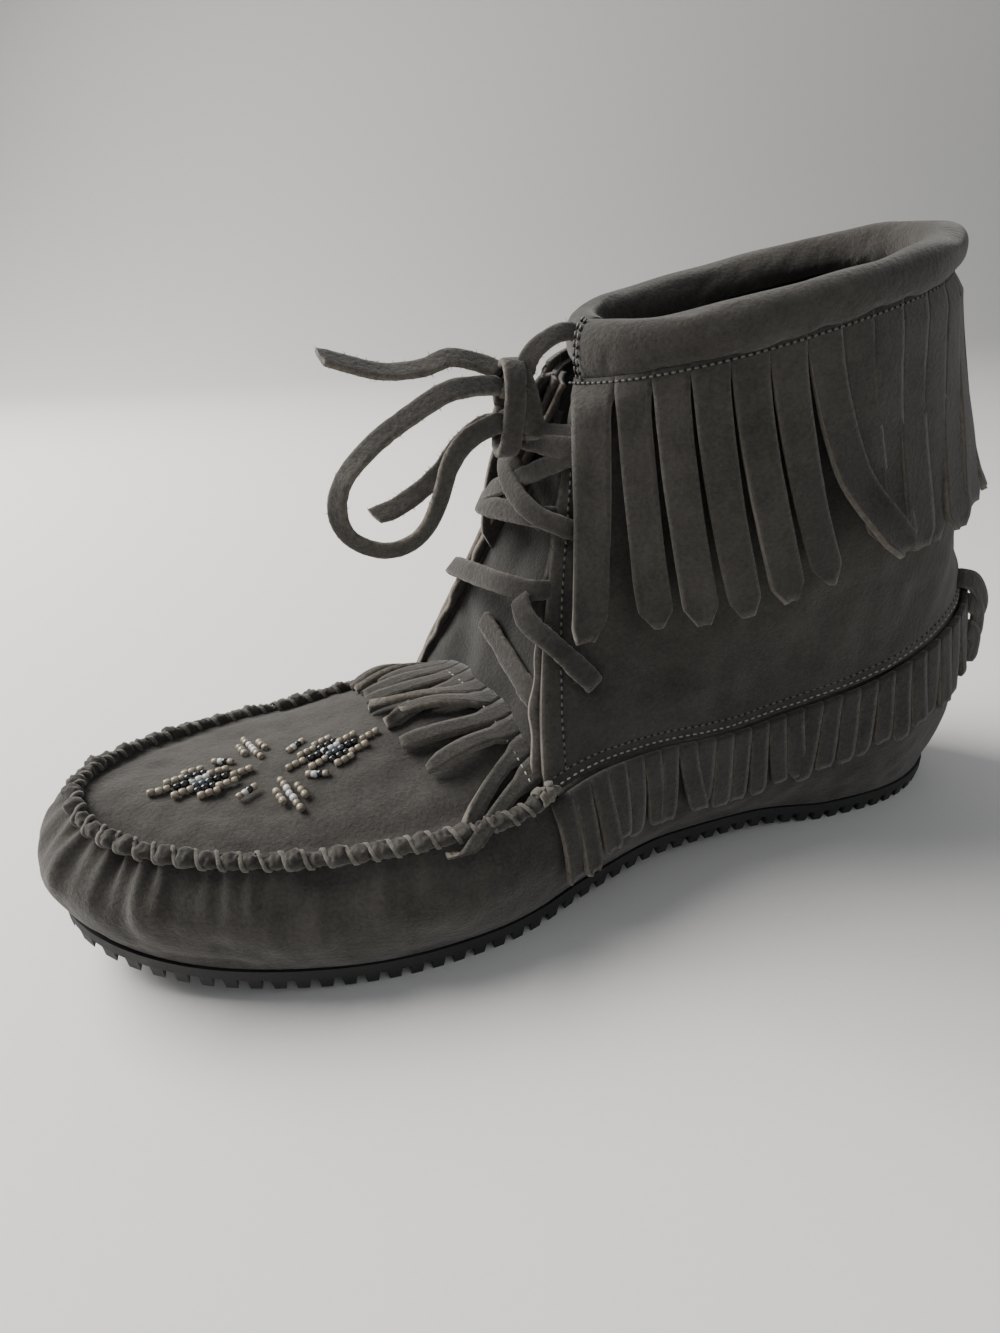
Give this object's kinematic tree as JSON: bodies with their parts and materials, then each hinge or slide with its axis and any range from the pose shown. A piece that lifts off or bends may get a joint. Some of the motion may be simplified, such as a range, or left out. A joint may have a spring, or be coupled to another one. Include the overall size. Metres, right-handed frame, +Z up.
{
  "type": "moccasin boot",
  "caption": "Grey suede ankle moccasin boot with fringe, a beaded star, a thong lace tied in a bow and a lugged rubber sole. Right foot.",
  "frame": {"origin": "middle of the heel's flat tread spot, on the floor", "axes": "+X towards the heel, so the toe points to -X; +Z up; -Y the inner side of the foot"},
  "size_m": [0.2763, 0.1058, 0.1643],
  "materials": {
    "suede": "napped grey suede",
    "thong": "raw-edged suede thong",
    "sole_rubber": "matt black rubber",
    "sock_board": "dark grey sock lining",
    "beads": "polished seed beads"
  },
  "bodies": {
    "root": {"outsole": "sole_rubber", "insole": "sock_board", "upper": "suede", "tongue": "suede", "plug_seam": "thong", "collar_roll": "suede", "cuff_fringe": "suede", "side_fringe": "suede", "vamp_fringe": "suede", "lace_crossings": "thong", "bow_knot": "thong", "bow_loop": "thong", "lace_end_free": "thong", "lace_end_back": "thong", "bead_diamond_front": "beads", "bead_diamond_back": "beads", "bead_bar_inner": "beads", "bead_bar_outer": "beads", "bead_dash_front_inner": "beads", "bead_dash_front_outer": "beads", "bead_dash_back_inner": "beads", "bead_dash_back_outer": "beads"}
  },
  "joints": []
}
